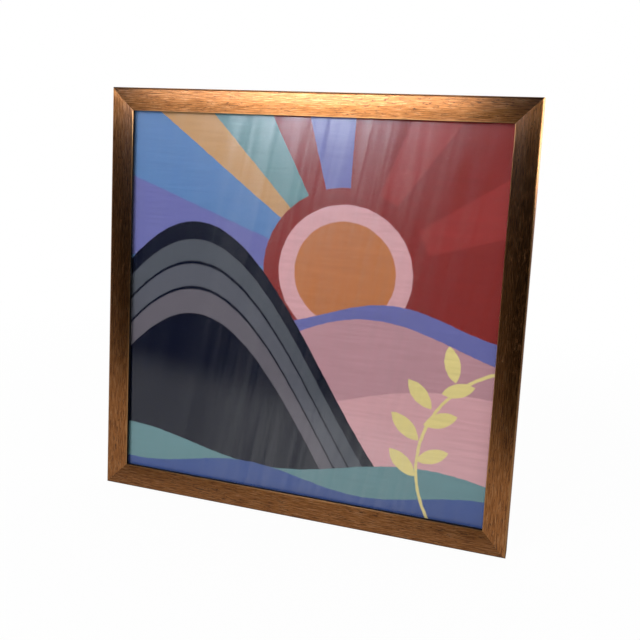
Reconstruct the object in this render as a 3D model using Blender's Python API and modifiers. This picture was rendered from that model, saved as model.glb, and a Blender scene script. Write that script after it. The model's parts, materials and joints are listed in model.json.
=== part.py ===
"""Square wall frame for a twelve inch record sleeve.

Metres, +Z up. The frame stands on its bottom edge with its face towards -Y.
The origin is at the middle of the bottom of the whole object's box.
Places on the moulding are given for the bottom side: along it, in from its outer
edge, and out from its flat back. The other three sides are that one turned about Y.
"""

import math

import bmesh
import bpy
from mathutils import Matrix, Vector

# Driving sizes of the moulding
sleeve_opening = 0.316
wall_width = 0.007
lip_overhang = 0.011
lip_wall_height = 0.0022
ridge_start_inset = 0.007
ridge_radius = 0.026
inner_fall_angle = math.radians(12)
outer_arris_radius = 0.0022
sight_arris_radius = 0.0009
back_chamfer = 0.0005

# Clearances
touch_gap = 0.0003
sheet_side_clearance = 0.0005
cut_overrun = 0.001

# Sheets that lie in the rebate, from the front to the back
glazing_thickness = 0.001
print_thickness = 0.0003
filler_thickness = 0.0055
backing_thickness = 0.003
backing_recess = 0.0003

# Folded nail across the back of each mitre
nail_thickness = 0.0006
nail_leg = 0.005
nail_height = 0.010

# Turn buttons and their screws
button_offset_share = 0.25
button_thickness = 0.0009
button_round_radius = 0.0034
button_tip_radius = 0.0026
button_length = 0.0165
button_lift_length = 0.006
button_lift = 0.0016
screw_shank_radius = 0.0012
screw_length = 0.010
screw_point_length = 0.0025
screw_head_radius = 0.0024
screw_head_height = 0.0014
screw_rim_height = 0.0004
recess_span = 0.0028
recess_width = 0.0006
recess_depth = 0.0009

# Strap hanger and its ring
hanger_drop = 0.032
strap_width = 0.011
strap_thickness = 0.0008
strap_corner_radius = 0.0045
strap_end_margin = 0.006
roll_end_angle = math.radians(200)
ring_wire_radius = 0.001
ring_half_width = 0.010
ring_corner_radius = 0.0025
ring_bow = 0.0125
ring_to_rivet_clearance = 0.003
rivet_spacing = 0.014
rivet_shank_radius = 0.0015
rivet_head_radius = 0.003
rivet_head_height = 0.001
rivet_rim_height = 0.0003
rivet_flange_radius = 0.0026
rivet_flange_thickness = 0.0006

# Sizes that follow
outer_side = sleeve_opening + 2 * wall_width
half_side = outer_side / 2
face_width = wall_width + lip_overhang
sheet_side = sleeve_opening - 2 * sheet_side_clearance

glazing_to_seat = touch_gap + glazing_thickness
print_to_seat = glazing_to_seat + touch_gap + print_thickness
filler_to_seat = print_to_seat + touch_gap + filler_thickness
backing_to_seat = filler_to_seat + touch_gap + backing_thickness
rebate_depth = backing_to_seat + backing_recess

# The face is flat, then bends over a soft ridge and falls straight to the sight arris
sight_arris_inset = face_width - sight_arris_radius
ridge_end_inset = ridge_start_inset + ridge_radius * math.sin(inner_fall_angle)
ridge_fall = ridge_radius * (1 - math.cos(inner_fall_angle))
inner_fall = (
    sight_arris_radius + (sight_arris_inset - ridge_end_inset) * math.sin(inner_fall_angle)
) / math.cos(inner_fall_angle)
sight_arris_drop = ridge_fall + inner_fall
moulding_depth = rebate_depth + lip_wall_height + sight_arris_drop

button_height = touch_gap
screw_seat_height = button_height + button_thickness + touch_gap
screw_reach = screw_seat_height + screw_head_height
screw_hole_radius = screw_shank_radius + touch_gap
button_offset = button_offset_share * outer_side

strap_height = touch_gap - backing_recess
roll_radius = ring_wire_radius + touch_gap + strap_thickness / 2
knuckle_height = strap_height + strap_thickness / 2 + roll_radius
knuckle_reach = knuckle_height + roll_radius + strap_thickness / 2
ring_reach = ring_corner_radius + ring_bow + ring_wire_radius
upper_rivet_drop = ring_reach + ring_to_rivet_clearance + rivet_head_radius
lower_rivet_drop = upper_rivet_drop + rivet_spacing
strap_length = lower_rivet_drop + strap_end_margin
rivet_hole_radius = rivet_shank_radius + touch_gap

back_reach = max(screw_reach, knuckle_reach)
back_y = (moulding_depth - back_reach) / 2
frame_centre = Vector((0, back_y, half_side))
knuckle_place = Vector((0, back_y + knuckle_height, outer_side - hanger_drop))

# Counts of facets
arris_steps = 6
ridge_steps = 8
hole_steps = 20
turned_steps = 24
roll_steps = 16
bow_steps = 24
corner_steps = 5
lift_steps = 5

# The four sides, each the bottom one turned about Y
sides = {
    "bottom_rail": 0.0,
    "left_stile": math.pi / 2,
    "top_rail": math.pi,
    "right_stile": 3 * math.pi / 2,
}
side_words = {
    "bottom_rail": "bottom",
    "left_stile": "left",
    "top_rail": "top",
    "right_stile": "right",
}
corner_words = {
    "bottom_left": 0.0,
    "top_left": math.pi / 2,
    "top_right": math.pi,
    "bottom_right": 3 * math.pi / 2,
}
# Turns a piece modelled flat, face up, so that its face looks out of the back
faces_back = -math.pi / 2


def clear_scene():
    for obj in list(bpy.data.objects):
        bpy.data.objects.remove(obj, do_unlink=True)


def new_collection(name):
    collection = bpy.data.collections.new(name)
    bpy.context.scene.collection.children.link(collection)
    return collection


clear_scene()
parts = new_collection("record_sleeve_frame")
cutters = new_collection("cutters")


def make_material(name, colour, roughness, metallic, transmission=0.0):
    material = bpy.data.materials.new(name)
    material.use_nodes = True
    shader = material.node_tree.nodes["Principled BSDF"]
    shader.inputs["Base Color"].default_value = (*colour, 1.0)
    shader.inputs["Roughness"].default_value = roughness
    shader.inputs["Metallic"].default_value = metallic
    shader.inputs["Transmission Weight"].default_value = transmission
    material.diffuse_color = (*colour, 1.0)
    return material


antique_gold = make_material("antique_gold_moulding", (0.20, 0.09, 0.035), 0.35, 0.8)
clear_acrylic = make_material("clear_acrylic", (0.95, 0.97, 0.97), 0.05, 0.0, 1.0)
printed_paper = make_material("printed_paper", (0.16, 0.22, 0.33), 0.6, 0.0)
corrugated = make_material("corrugated_board", (0.45, 0.31, 0.18), 0.9, 0.0)
hardboard = make_material("hardboard", (0.24, 0.13, 0.07), 0.8, 0.0)
black_zinc = make_material("black_zinc", (0.03, 0.03, 0.035), 0.4, 1.0)
bright_zinc = make_material("bright_zinc", (0.62, 0.63, 0.65), 0.3, 1.0)
nail_steel = make_material("nail_steel", (0.42, 0.42, 0.43), 0.45, 1.0)


def link_mesh(name, mesh, collection, material=None):
    obj = bpy.data.objects.new(name, mesh)
    collection.objects.link(obj)
    if material is not None and not mesh.materials:
        mesh.materials.append(material)
    return obj


def smooth(obj, angle=math.radians(35)):
    obj.data.shade_smooth()
    obj.data.set_sharp_from_angle(angle=angle)


def as_cutter(obj):
    obj.hide_render = True
    obj.display_type = "WIRE"
    return obj


def cut(obj, cutter, operation="DIFFERENCE"):
    modifier = obj.modifiers.new(cutter.name, "BOOLEAN")
    modifier.operation = operation
    modifier.solver = "EXACT"
    modifier.object = cutter


def solidify(obj, thickness):
    modifier = obj.modifiers.new("thickness", "SOLIDIFY")
    modifier.thickness = thickness
    modifier.offset = 0.0
    modifier.use_even_offset = True


def box_mesh(name, size):
    bm = bmesh.new()
    bmesh.ops.create_cube(bm, size=1.0, matrix=Matrix.Diagonal((*size, 1.0)))
    mesh = bpy.data.meshes.new(name)
    bm.to_mesh(mesh)
    bm.free()
    return mesh


def cylinder_mesh(name, radius, low, high):
    """A round cutter along Z from low to high."""
    bm = bmesh.new()
    bmesh.ops.create_cone(
        bm,
        cap_ends=True,
        segments=hole_steps,
        radius1=radius,
        radius2=radius,
        depth=high - low,
        matrix=Matrix.Translation((0, 0, (low + high) / 2)),
    )
    mesh = bpy.data.meshes.new(name)
    bm.to_mesh(mesh)
    bm.free()
    return mesh


def swept_mesh(name, bm):
    """Finish a mesh made in bmesh: normals out, then into a datablock."""
    bmesh.ops.recalc_face_normals(bm, faces=bm.faces)
    mesh = bpy.data.meshes.new(name)
    bm.to_mesh(mesh)
    bm.free()
    return mesh


def turned(name, profile, material, collection):
    """A solid of revolution about Z from (radius, height) points, top to bottom."""
    bm = bmesh.new()
    points = [bm.verts.new((radius, 0, height)) for radius, height in profile]
    for upper, lower in zip(points, points[1:]):
        bm.edges.new((upper, lower))
    mesh = bpy.data.meshes.new(name)
    bm.to_mesh(mesh)
    bm.free()
    obj = link_mesh(name, mesh, collection, material)
    modifier = obj.modifiers.new("turned", "SCREW")
    modifier.axis = "Z"
    modifier.steps = turned_steps
    modifier.render_steps = turned_steps
    modifier.use_merge_vertices = True
    modifier.merge_threshold = 0.00001
    modifier.use_smooth_shade = True
    return obj


def settle(obj):
    """Give an object the mesh that its modifiers make, and drop them."""
    graph = bpy.context.evaluated_depsgraph_get()
    mesh = bpy.data.meshes.new_from_object(obj.evaluated_get(graph))
    mesh.name = obj.name
    obj.modifiers.clear()
    obj.data = mesh
    return obj


def arc(centre, radius, start, end, steps):
    """Points on an arc in a plane, both ends included."""
    return [
        (
            centre[0] + radius * math.cos(start + (end - start) * i / steps),
            centre[1] + radius * math.sin(start + (end - start) * i / steps),
        )
        for i in range(steps + 1)
    ]


def on_side(turn, along, inset, out):
    """A place on one side: along it, in from the outer edge, out behind the back."""
    place = Vector((along, out, inset - half_side))
    return frame_centre + Matrix.Rotation(turn, 3, "Y") @ place


# Moulding

def moulding_section():
    """(inset from the outer edge, height over the flat back), once round."""
    outer_arris = (outer_arris_radius, moulding_depth - outer_arris_radius)
    ridge = (ridge_start_inset, moulding_depth - ridge_radius)
    sight_arris = (sight_arris_inset, moulding_depth - sight_arris_drop)
    straight_out = math.pi / 2
    leaning_in = straight_out - inner_fall_angle

    points = [(back_chamfer, 0), (0, back_chamfer)]
    points += arc(outer_arris, outer_arris_radius, math.pi, straight_out, arris_steps)
    points += arc(ridge, ridge_radius, straight_out, leaning_in, ridge_steps)
    points += arc(sight_arris, sight_arris_radius, leaning_in, 0, arris_steps)
    points += [(face_width, rebate_depth), (wall_width, rebate_depth), (wall_width, 0)]
    return points


def rail_mesh():
    """The bottom rail about the frame's centre: the section drawn out, ends mitred."""
    bm = bmesh.new()
    mitre_shift = touch_gap / 2 * math.sqrt(2)
    ring = [
        bm.verts.new((inset - half_side + mitre_shift, -height, inset - half_side))
        for inset, height in moulding_section()
    ]
    face = bm.faces.new(ring)
    drawn = bmesh.ops.extrude_face_region(bm, geom=[face])["geom"]
    for item in drawn:
        if isinstance(item, bmesh.types.BMVert):
            item.co.x = -item.co.x
    return swept_mesh("moulding", bm)


def nail_mesh(name, leg, low, high):
    """A strip folded square round the bottom left mitre, about the frame's centre."""
    bm = bmesh.new()
    fold = wall_width / 2 - half_side
    path = [(fold + leg, fold), (fold, fold), (fold, fold + leg)]
    verts = [bm.verts.new((x, -low, z)) for x, z in path]
    edges = [bm.edges.new(pair) for pair in zip(verts, verts[1:])]
    drawn = bmesh.ops.extrude_edge_only(bm, edges=edges)["geom"]
    for item in drawn:
        if isinstance(item, bmesh.types.BMVert):
            item.co.y = -high
    return swept_mesh(name, bm)


def build_nails():
    nail = nail_mesh("v_nail", nail_leg, touch_gap, touch_gap + nail_height)
    slot = nail_mesh(
        "v_nail_slot", nail_leg + touch_gap, -cut_overrun, nail_height + 2 * touch_gap
    )
    slots = {}
    for words, turn in corner_words.items():
        piece = link_mesh("v_nail_" + words, nail, parts, nail_steel)
        solidify(piece, nail_thickness)
        slot_cutter = as_cutter(link_mesh("v_nail_slot_" + words, slot, cutters))
        solidify(slot_cutter, nail_thickness + 2 * touch_gap)
        for obj in (piece, slot_cutter):
            obj.location = frame_centre
            obj.rotation_euler.y = turn
        slots[words] = slot_cutter
    return slots


def build_rails(slots):
    mesh = rail_mesh()
    depth = screw_length - screw_seat_height + touch_gap
    hole = cylinder_mesh("screw_hole", screw_hole_radius, -depth, cut_overrun)
    for name, turn in sides.items():
        rail = link_mesh(name, mesh, parts, antique_gold)
        rail.location = frame_centre
        rail.rotation_euler.y = turn
        smooth(rail, math.radians(28))
        for words, slot in slots.items():
            if side_words[name] in words.split("_"):
                cut(rail, slot)
        for number, along in enumerate((-button_offset, button_offset), 1):
            cutter = as_cutter(link_mesh(f"{name}_hole_{number}", hole, cutters))
            cutter.location = on_side(turn, along, wall_width / 2, 0)
            cutter.rotation_euler = (faces_back, turn, 0)
            cut(rail, cutter)


# Sheets in the rebate

def build_sheet(name, thickness, back_to_seat, material):
    """A square sheet whose back lies this far behind the seat of the rebate."""
    mesh = box_mesh(name, (sheet_side, thickness, sheet_side))
    sheet = link_mesh(name, mesh, parts, material)
    middle = rebate_depth - back_to_seat + thickness / 2
    sheet.location = frame_centre + Vector((0, -middle, 0))
    return sheet


def build_sheets():
    build_sheet("glazing_sheet", glazing_thickness, glazing_to_seat, clear_acrylic)
    build_sheet("insert_print", print_thickness, print_to_seat, printed_paper)
    filler = build_sheet("filler_board", filler_thickness, filler_to_seat, corrugated)
    backing = build_sheet("backing_board", backing_thickness, backing_to_seat, hardboard)
    return filler, backing


# Turn buttons

def button_profile():
    """The stamped tongue from the side: flat, then lifted at its tip in a soft S."""
    flat = button_length - button_lift_length
    points = [(-button_round_radius, 0), (flat, 0)]
    for i in range(1, lift_steps + 1):
        share = i / lift_steps
        rise = button_lift * (1 - math.cos(math.pi * share)) / 2
        points.append((flat + button_lift_length * share, rise))
    return points


def button_plan():
    """The tongue from above: a round end at the screw, sides drawn in to a round tip."""
    tip_centre = button_length - button_tip_radius
    lean = math.asin((button_round_radius - button_tip_radius) / tip_centre)
    side = math.pi / 2 - lean
    tip = arc((tip_centre, 0), button_tip_radius, -side, side, 2 * corner_steps)
    round_end = arc((0, 0), button_round_radius, side, 2 * math.pi - side, 3 * corner_steps)
    return tip + round_end


def build_button_mesh():
    """Modelled flat with the tongue along -Y, its hole on the Z axis."""
    bm = bmesh.new()
    half = button_round_radius + cut_overrun
    verts = [bm.verts.new((-half, -along, rise)) for along, rise in button_profile()]
    edges = [bm.edges.new(pair) for pair in zip(verts, verts[1:])]
    drawn = bmesh.ops.extrude_edge_only(bm, edges=edges)["geom"]
    for item in drawn:
        if isinstance(item, bmesh.types.BMVert):
            item.co.x = half
    strip = link_mesh("button_strip", swept_mesh("button_strip", bm), cutters)
    solidify(strip, button_thickness)

    bm = bmesh.new()
    low = -button_thickness
    high = button_lift + button_thickness
    face = bm.faces.new([bm.verts.new((across, -along, low)) for along, across in button_plan()])
    drawn = bmesh.ops.extrude_face_region(bm, geom=[face])["geom"]
    for item in drawn:
        if isinstance(item, bmesh.types.BMVert):
            item.co.z = high
    plan = as_cutter(link_mesh("button_plan", swept_mesh("button_plan", bm), cutters))
    hole_mesh = cylinder_mesh("button_hole", screw_hole_radius, low, high)
    hole = as_cutter(link_mesh("button_hole", hole_mesh, cutters))

    cut(strip, plan, "INTERSECT")
    cut(strip, hole)
    settle(strip)
    mesh = strip.data
    bpy.data.objects.remove(strip)
    mesh.name = "turn_button"
    return mesh


def screw_profile():
    """(radius, height over the button), top to bottom."""
    dome_radius = screw_head_radius
    top = screw_head_height
    rim = screw_rim_height
    dome = [
        (dome_radius * math.sin(a), rim + (top - rim) * math.cos(a))
        for a in [math.pi / 2 * i / corner_steps for i in range(corner_steps + 1)]
    ]
    shank = [
        (screw_head_radius, 0),
        (screw_shank_radius, 0),
        (screw_shank_radius, screw_point_length - screw_length),
        (0, -screw_length),
    ]
    return dome + shank


def build_screw_mesh():
    screw = turned("screw", screw_profile(), bright_zinc, cutters)
    for number, size in enumerate(((recess_span, recess_width), (recess_width, recess_span))):
        bar = box_mesh("recess_bar", (*size, 2 * recess_depth))
        cutter = as_cutter(link_mesh(f"recess_bar_{number}", bar, cutters))
        cutter.location.z = screw_head_height
        cut(screw, cutter)
    settle(screw)
    mesh = screw.data
    bpy.data.objects.remove(screw)
    mesh.name = "turn_button_screw"
    return mesh


def build_turn_buttons():
    button_mesh = build_button_mesh()
    screw_mesh = build_screw_mesh()
    for name, turn in sides.items():
        side = side_words[name]
        for along in (-button_offset, button_offset):
            place = on_side(turn, along, wall_width / 2, 0)
            if side in ("top", "bottom"):
                end = "right" if place.x > frame_centre.x else "left"
            else:
                end = "upper" if place.z > frame_centre.z else "lower"
            button = link_mesh(f"turn_button_{side}_{end}", button_mesh, parts, black_zinc)
            screw = link_mesh(f"turn_button_screw_{side}_{end}", screw_mesh, parts, bright_zinc)
            button.location = place + Vector((0, button_height + button_thickness / 2, 0))
            screw.location = place + Vector((0, screw_seat_height, 0))
            for obj in (button, screw):
                obj.rotation_euler = (faces_back, turn, 0)
                smooth(obj)


# Hanger

def build_strap():
    """A strip from its lower end up to the knuckle, rolled round the ring's bar."""
    bm = bmesh.new()
    path = [(-strap_length, -roll_radius)]
    path += arc((0, 0), roll_radius, -math.pi / 2, roll_end_angle, roll_steps)
    half = strap_width / 2
    verts = [bm.verts.new((-half, out, up)) for up, out in path]
    edges = [bm.edges.new(pair) for pair in zip(verts, verts[1:])]
    drawn = bmesh.ops.extrude_edge_only(bm, edges=edges)["geom"]
    for item in drawn:
        if isinstance(item, bmesh.types.BMVert):
            item.co.x = half
    lowest = min(vert.co.z for vert in bm.verts)
    corners = [vert for vert in bm.verts if vert.co.z == lowest]
    bmesh.ops.bevel(
        bm, geom=corners, offset=strap_corner_radius, segments=corner_steps,
        profile=0.5, affect="VERTICES",
    )
    strap = link_mesh("hanger_strap", swept_mesh("hanger_strap", bm), parts, bright_zinc)
    strap.location = knuckle_place
    solidify(strap, strap_thickness)
    smooth(strap)
    return strap


def ring_path():
    """The D ring's middle line, hanging from its bar, once round."""
    corner_x = ring_half_width - ring_corner_radius
    corner = (corner_x, -ring_corner_radius)
    right = arc(corner, ring_corner_radius, math.pi / 2, 0, corner_steps)
    left = [(-across, up) for across, up in reversed(right)]
    bow = [
        (
            ring_half_width * math.cos(math.pi * i / bow_steps),
            -ring_corner_radius - ring_bow * math.sin(math.pi * i / bow_steps),
        )
        for i in range(1, bow_steps)
    ]
    return right + bow + left


def build_ring():
    points = ring_path()
    curve = bpy.data.curves.new("hanger_ring", "CURVE")
    curve.dimensions = "3D"
    curve.bevel_depth = ring_wire_radius
    curve.bevel_resolution = 3
    spline = curve.splines.new("POLY")
    spline.points.add(len(points) - 1)
    for point, (across, up) in zip(spline.points, points):
        point.co = (across, 0, up, 1)
    spline.use_cyclic_u = True
    curve.materials.append(bright_zinc)
    ring = bpy.data.objects.new("hanger_ring", curve)
    parts.objects.link(ring)
    ring.location = knuckle_place


def rivet_profile():
    """(radius, height over the strap's face), top to bottom."""
    rim = rivet_rim_height
    flange_top = -(strap_thickness + backing_thickness + 3 * touch_gap)
    dome = [
        (rivet_head_radius * math.sin(a), rim + (rivet_head_height - rim) * math.cos(a))
        for a in [math.pi / 2 * i / corner_steps for i in range(corner_steps + 1)]
    ]
    shank = [
        (rivet_head_radius, 0),
        (rivet_shank_radius, 0),
        (rivet_shank_radius, flange_top),
        (rivet_flange_radius, flange_top),
        (rivet_flange_radius, flange_top - rivet_flange_thickness),
        (0, flange_top - rivet_flange_thickness),
    ]
    return dome + shank


def build_rivets(strap, backing, filler):
    head_height = strap_height + strap_thickness + touch_gap
    hole = cylinder_mesh(
        "rivet_hole", rivet_hole_radius, -backing_thickness - backing_recess - cut_overrun,
        head_height + cut_overrun,
    )
    pocket_depth = backing_recess + backing_thickness + 2 * touch_gap + rivet_flange_thickness
    pocket = cylinder_mesh(
        "rivet_pocket", rivet_flange_radius + touch_gap, -pocket_depth - touch_gap, 0
    )
    shared = None
    for words, drop in (("upper", upper_rivet_drop), ("lower", lower_rivet_drop)):
        place = Vector((0, back_y, knuckle_place.z - drop))
        rivet = turned("hanger_rivet_" + words, rivet_profile(), bright_zinc, parts)
        if shared is None:
            shared = settle(rivet).data
        else:
            rivet.modifiers.clear()
            rivet.data = shared
        rivet.location = place + Vector((0, head_height, 0))
        rivet.rotation_euler.x = faces_back
        smooth(rivet)
        hole_cutter = as_cutter(link_mesh("rivet_hole_" + words, hole, cutters))
        pocket_cutter = as_cutter(link_mesh("rivet_pocket_" + words, pocket, cutters))
        for obj in (hole_cutter, pocket_cutter):
            obj.location = place
            obj.rotation_euler.x = faces_back
        cut(strap, hole_cutter)
        cut(backing, hole_cutter)
        cut(filler, pocket_cutter)


def build_frame():
    slots = build_nails()
    build_rails(slots)
    filler, backing = build_sheets()
    build_turn_buttons()
    strap = build_strap()
    build_ring()
    build_rivets(strap, backing, filler)


build_frame()
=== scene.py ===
import json
import math

import bmesh
import bpy
from mathutils import Matrix, Vector


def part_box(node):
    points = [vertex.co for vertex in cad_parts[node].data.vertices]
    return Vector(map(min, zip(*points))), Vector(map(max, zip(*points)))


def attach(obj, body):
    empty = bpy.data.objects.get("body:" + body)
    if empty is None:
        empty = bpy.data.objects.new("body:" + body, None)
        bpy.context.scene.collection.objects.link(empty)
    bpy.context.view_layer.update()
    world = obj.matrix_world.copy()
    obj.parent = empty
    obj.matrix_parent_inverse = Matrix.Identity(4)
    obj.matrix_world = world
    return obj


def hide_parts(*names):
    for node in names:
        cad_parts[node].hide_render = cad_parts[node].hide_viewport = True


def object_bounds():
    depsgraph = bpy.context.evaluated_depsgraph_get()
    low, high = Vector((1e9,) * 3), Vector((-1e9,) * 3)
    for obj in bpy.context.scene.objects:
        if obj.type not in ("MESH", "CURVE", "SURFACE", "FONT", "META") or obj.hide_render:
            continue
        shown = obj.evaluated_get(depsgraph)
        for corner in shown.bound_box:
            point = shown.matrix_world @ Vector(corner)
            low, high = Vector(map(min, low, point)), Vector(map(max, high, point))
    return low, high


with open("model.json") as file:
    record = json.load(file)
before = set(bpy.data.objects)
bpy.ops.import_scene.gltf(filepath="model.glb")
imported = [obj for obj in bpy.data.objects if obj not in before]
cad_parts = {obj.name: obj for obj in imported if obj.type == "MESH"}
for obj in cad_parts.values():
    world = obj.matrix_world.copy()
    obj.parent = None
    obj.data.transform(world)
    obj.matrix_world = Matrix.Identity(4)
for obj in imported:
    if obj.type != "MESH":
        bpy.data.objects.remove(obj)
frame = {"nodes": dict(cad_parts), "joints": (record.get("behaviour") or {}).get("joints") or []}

# Metres, +Z up, the face towards -Y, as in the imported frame

cad_low, cad_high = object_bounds()

# The frame's own sizes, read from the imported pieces
rail_low, rail_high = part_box("bottom_rail")
sheet_low, sheet_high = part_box("glazing_sheet")
print_low, print_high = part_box("insert_print")
outer_side = cad_high.z - cad_low.z
half_side = outer_side / 2
face_width = rail_high.z - rail_low.z
front_y = rail_low.y
back_y = rail_high.y
moulding_depth = back_y - front_y
frame_centre = Vector((0, 0, half_side))

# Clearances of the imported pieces: before each sheet, and beside it in the rebate
touch_gap = 0.0003
sheet_side_clearance = 0.0005
wall_width = (outer_side - (sheet_high.x - sheet_low.x)) / 2 - sheet_side_clearance
seat_y = sheet_low.y - touch_gap

# Moulding
ridge_start_inset = 0.007
ridge_radius = 0.026
ridge_rim = 0.0005
ridge_rows = 10
inner_fall_angle = math.radians(12)
ridge_width = ridge_radius * math.sin(inner_fall_angle)
outer_arris_width = 0.0022
sight_arris_width = 0.0004
arris_segments = 6
back_chamfer = 0.0005
mitre_gap = 0.00003
mitre_edge_width = 0.00006

# Turn buttons and screws
button_sides = 48
button_thickness = 0.0009
button_round_radius = 0.0034
button_tip_radius = 0.0026
button_length = 0.0165
button_lift_length = 0.006
button_lift = 0.0016
button_lift_rows = 9
button_edge_width = 0.00016
screw_hole_radius = 0.0015
screw_shank_radius = 0.0012
screw_head_radius = 0.0024
screw_head_height = 0.00165
screw_rim_height = 0.00065
screw_head_clearance = 0.00005
screw_shank_length = 0.0035
head_sides = 40
dome_steps = 6
recess_span = 0.0028
recess_width = 0.0006
recess_depth = 0.0009
recess_taper = 0.7
screw_edge_width = 0.00005
# A driven screw stops at an odd angle: so many degrees for each letter of its side and end
side_letter_turn = 37
end_letter_turn = 23

# Hanger
strap_width = 0.011
strap_thickness = 0.0008
strap_length = 0.042
strap_corner_radius = 0.0045
strap_edge_width = 0.00015
roll_radius = 0.0017
roll_end_angle = math.radians(200)
roll_steps = 28
ring_wire_radius = 0.001
ring_half_width = 0.010
ring_corner_radius = 0.0025
ring_bow = 0.0125
ring_bow_segments = 28
upper_rivet_drop = 0.022
lower_rivet_drop = 0.036
rivet_head_radius = 0.003
rivet_head_height = 0.00135
rivet_rim_height = 0.00065
rivet_shank_radius = 0.0015
rivet_shank_length = 0.0015
rivet_edge_width = 0.00008

# Pane and table
pane_edge_width = 0.00015
table_side = 12
table_gap = 0.0002

# Camera, from the perspective of the frame's four outer corners
camera_azimuth = math.radians(17.97)
camera_elevation = math.radians(7.67)
camera_roll = math.radians(2.67)
camera_distance = 0.606
camera_aim = Vector((-0.0062, -0.00844, 0.2082))
camera_lens = 45.0
optical_axis_pixel = (295.25, 254.98)
image_side = 640

# Lamps: name, size, place, target, radiance. Only gloss shows the two bars close over the
# front and the rim light, and gloss doesn't show the soft box that fills.
bar_lamps = (
    ("light_bar", (0.385, 0.08), (-0.108, -0.30, 0.43), (-0.108, 0.0, 0.36), 7.8),
    ("light_bar_core", (0.18, 0.07), (-0.09, -0.30, 0.39), (-0.09, 0.0, 0.34), 5.5),
)
bar_spread = math.radians(100)
cool_white = (0.78, 0.85, 1.0)
rim_lamp = ("rim_light", (0.20, 0.26), (0.42, 0.12, 0.37), frame_centre, 12.0)
fill_lamp = ("fill_softbox", (0.90, 0.70), (-0.60, -1.45, 0.90), frame_centre, 11.0)

# Turns of the four sides about Y, from the bottom one, and of +Z to the back about X
side_turns = {"bottom": 0.0, "left": math.pi / 2, "top": math.pi, "right": 3 * math.pi / 2}
faces_back = -math.pi / 2

millimetre = 0.001
# Smaller than any step of a shape, and smaller than any edge
hair = 0.01 * millimetre
weld = 0.001 * millimetre


# Modelling helpers

def alone(obj=None):
    """Back to object mode with nothing selected but this object, which is made active."""
    if bpy.context.mode != "OBJECT":
        bpy.ops.object.mode_set(mode="OBJECT")
    bpy.ops.object.select_all(action="DESELECT")
    if obj is not None:
        obj.select_set(True)
        bpy.context.view_layer.objects.active = obj


def edit(obj):
    """Open this object by itself in edit mode."""
    alone(obj)
    bpy.ops.object.mode_set(mode="EDIT")


def start(name, add, scale=(1, 1, 1), **settings):
    """Add a primitive by itself, with its place in its mesh, and open it in edit mode."""
    alone()
    add(**settings)
    obj = bpy.context.object
    obj.name = name
    obj.data.name = name
    obj.scale = scale
    bpy.ops.object.transform_apply(location=True, rotation=True, scale=True)
    bpy.ops.object.mode_set(mode="EDIT")
    return obj


def pick(obj, kind, test):
    """In edit mode, select only the verts, edges or faces that pass the test."""
    bpy.ops.mesh.select_mode(type={"verts": "VERT", "edges": "EDGE", "faces": "FACE"}[kind])
    bpy.ops.mesh.select_all(action="DESELECT")
    bm = bmesh.from_edit_mesh(obj.data)
    for item in getattr(bm, kind):
        item.select_set(test(item))
    bmesh.update_edit_mesh(obj.data)


def slice_at(place, normal, **settings):
    """Bisect all of the open mesh with a plane."""
    bpy.ops.mesh.select_all(action="SELECT")
    bpy.ops.mesh.bisect(plane_co=place, plane_no=normal, **settings)


def middle(item):
    """The middle of an edge or a face."""
    return sum((vert.co for vert in item.verts), Vector()) / len(item.verts)


def near(value, other):
    """Whether two places are the same, but for rounding."""
    return abs(value - other) < hair


def apply_modifier(obj, kind, **settings):
    """Add a modifier with these settings and apply it."""
    alone(obj)
    modifier = obj.modifiers.new(kind.lower(), kind)
    for name, value in settings.items():
        setattr(modifier, name, value)
    bpy.ops.object.modifier_apply(modifier=modifier.name)


def thicken(obj, thickness):
    """Give a sheet its thickness, half to each side."""
    apply_modifier(obj, "SOLIDIFY", thickness=thickness, offset=0.0, use_even_offset=True)


def ease_edges(obj, width, segments, degrees):
    """Round the edges that turn by more than these degrees."""
    apply_modifier(
        obj, "BEVEL", width=width, segments=segments, limit_method="ANGLE",
        angle_limit=math.radians(degrees),
    )


def shade(obj, degrees=35):
    """Shade smooth over the edges that turn by less than these degrees."""
    alone(obj)
    bpy.ops.object.shade_smooth_by_angle(angle=math.radians(degrees))


def outwards(obj):
    """Merge doubles and turn every face out."""
    edit(obj)
    bpy.ops.mesh.select_all(action="SELECT")
    bpy.ops.mesh.remove_doubles(threshold=weld)
    bpy.ops.mesh.normals_make_consistent(inside=False)
    alone(obj)


def copy_of(obj, name, matrix):
    """A copy with its own mesh, moved there by this matrix."""
    copy = obj.copy()
    copy.data = obj.data.copy()
    copy.name = name
    copy.data.name = name
    copy.data.transform(matrix)
    bpy.context.scene.collection.objects.link(copy)
    return copy


def hand_over(obj, node, body, materials):
    """Dress a finished piece, let it ride on its body and stand for its node."""
    for material in materials:
        obj.data.materials.append(material)
    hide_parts(node)
    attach(obj, body)


# Material helpers

def colour(hex_value):
    """An sRGB hex value as a linear colour."""
    parts = [int(hex_value[i:i + 2], 16) / 255 for i in (1, 3, 5)]
    linear = [p / 12.92 if p <= 0.04045 else ((p + 0.055) / 1.055) ** 2.4 for p in parts]
    return (*linear, 1.0)


def add_node(tree, kind, settings=None, inputs=None, stops=None):
    """Add a node with its settings, its sockets' values or links, and its ramp's stops.

    A socket goes by its name, or by its number where a node has several of one name.
    """
    node = tree.nodes.new(kind)
    for name, value in (settings or {}).items():
        setattr(node, name, value)
    for name, value in (inputs or {}).items():
        if isinstance(value, bpy.types.NodeSocket):
            tree.links.new(value, node.inputs[name])
        else:
            node.inputs[name].default_value = value
    if stops:
        elements = node.color_ramp.elements
        while len(elements) < len(stops):
            elements.new(1.0)
        for element, (position, value) in zip(elements, stops):
            element.position = position
            element.color = value if isinstance(value, tuple) else (value, value, value, 1.0)
    return node


def new_material(name):
    """An empty node material and its tree."""
    material = bpy.data.materials.new(name)
    material.use_nodes = True
    material.node_tree.nodes.clear()
    return material, material.node_tree


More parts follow.
